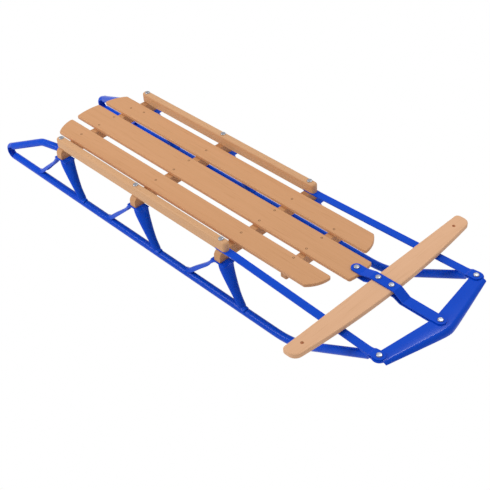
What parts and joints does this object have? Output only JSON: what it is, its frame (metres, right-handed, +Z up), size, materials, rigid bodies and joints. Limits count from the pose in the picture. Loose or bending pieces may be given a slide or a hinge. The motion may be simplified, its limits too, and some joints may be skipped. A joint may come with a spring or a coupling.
{
  "type": "steerable steel-runner sled",
  "caption": "Steerable snow sled with a slatted wooden deck on cross bunks, blue painted steel runners, a bumper and a wooden steering bar.",
  "frame": {"origin": "on the ground, below the middle of the sled's length and width", "axes": "+X forward towards the bumper, +Y to the rider's left, +Z up"},
  "size_m": [1.3806, 0.568, 0.1702],
  "materials": {
    "slat_wood": "clear satin varnish on flat-sawn hardwood",
    "rail_wood": "clear satin varnish on pale hardwood",
    "blue_enamel": "glossy blue enamel on steel",
    "zinc_steel": "bright zinc-plated steel"
  },
  "bodies": {
    "deck_frame": {"slat_center": "slat_wood", "slat_right": "slat_wood", "slat_left": "slat_wood", "batten_front": "slat_wood", "bunk_rear": "slat_wood", "bunk_middle": "slat_wood", "bunk_front": "slat_wood", "rail_right": "rail_wood", "rail_left": "rail_wood", "runner_right": "blue_enamel", "runner_left": "blue_enamel", "stanchion_rear_right": "blue_enamel", "stanchion_rear_left": "blue_enamel", "stanchion_middle_right": "blue_enamel", "stanchion_middle_left": "blue_enamel", "stanchion_front_right": "blue_enamel", "stanchion_front_left": "blue_enamel", "rail_bolts_right": "zinc_steel", "rail_bolts_left": "zinc_steel", "pivot_bolt": "zinc_steel"},
    "steering": {"steering_strap_upper": "blue_enamel", "steering_strap_lower": "blue_enamel", "steering_bar": "rail_wood", "bar_bolts": "zinc_steel", "bumper_rivet": "zinc_steel"},
    "bumper": {"bumper": "blue_enamel"},
    "strip_right": {"front_strip_right": "blue_enamel", "end_bolt_right": "zinc_steel"},
    "runner_front_right": {"runner_front_right": "blue_enamel"},
    "strip_left": {"front_strip_left": "blue_enamel", "end_bolt_left": "zinc_steel"},
    "runner_front_left": {"runner_front_left": "blue_enamel"}
  },
  "joints": [
    {"name": "steering", "type": "hinge", "parent": "deck_frame", "child": "steering", "pos_m": [0.438, 0, 0.15], "axis": [0, 0, 1], "range_deg": [-8, 8], "stiffness_Nm_per_rad": 40},
    {"name": "bumper_pivot", "type": "hinge", "parent": "steering", "child": "bumper", "pos_m": [0.6607, 0, 0.138], "axis": [0, 0, 1], "range_deg": [-8.2, 8.2]},
    {"name": "strip_right_flex", "type": "hinge", "parent": "deck_frame", "child": "strip_right", "pos_m": [0.168, -0.1432, 0.141], "axis": [0, 0, 1], "range_deg": [-4, 4]},
    {"name": "runner_right_flex", "type": "hinge", "parent": "deck_frame", "child": "runner_front_right", "pos_m": [0.317, -0.1555, 0.0065], "axis": [0, 0, 1], "range_deg": [-6, 6]},
    {"name": "strip_left_flex", "type": "hinge", "parent": "deck_frame", "child": "strip_left", "pos_m": [0.168, 0.1432, 0.141], "axis": [0, 0, 1], "range_deg": [-4, 4]},
    {"name": "runner_left_flex", "type": "hinge", "parent": "deck_frame", "child": "runner_front_left", "pos_m": [0.317, 0.1555, 0.0065], "axis": [0, 0, 1], "range_deg": [-6, 6]}
  ],
  "couplings": [
    {"joint": "bumper_pivot", "follows": "steering", "ratio": -1},
    {"joint": "strip_right_flex", "follows": "steering", "ratio": 0.4785},
    {"joint": "runner_right_flex", "follows": "steering", "ratio": 0.7039},
    {"joint": "strip_left_flex", "follows": "steering", "ratio": 0.4785},
    {"joint": "runner_left_flex", "follows": "steering", "ratio": 0.7039}
  ]
}
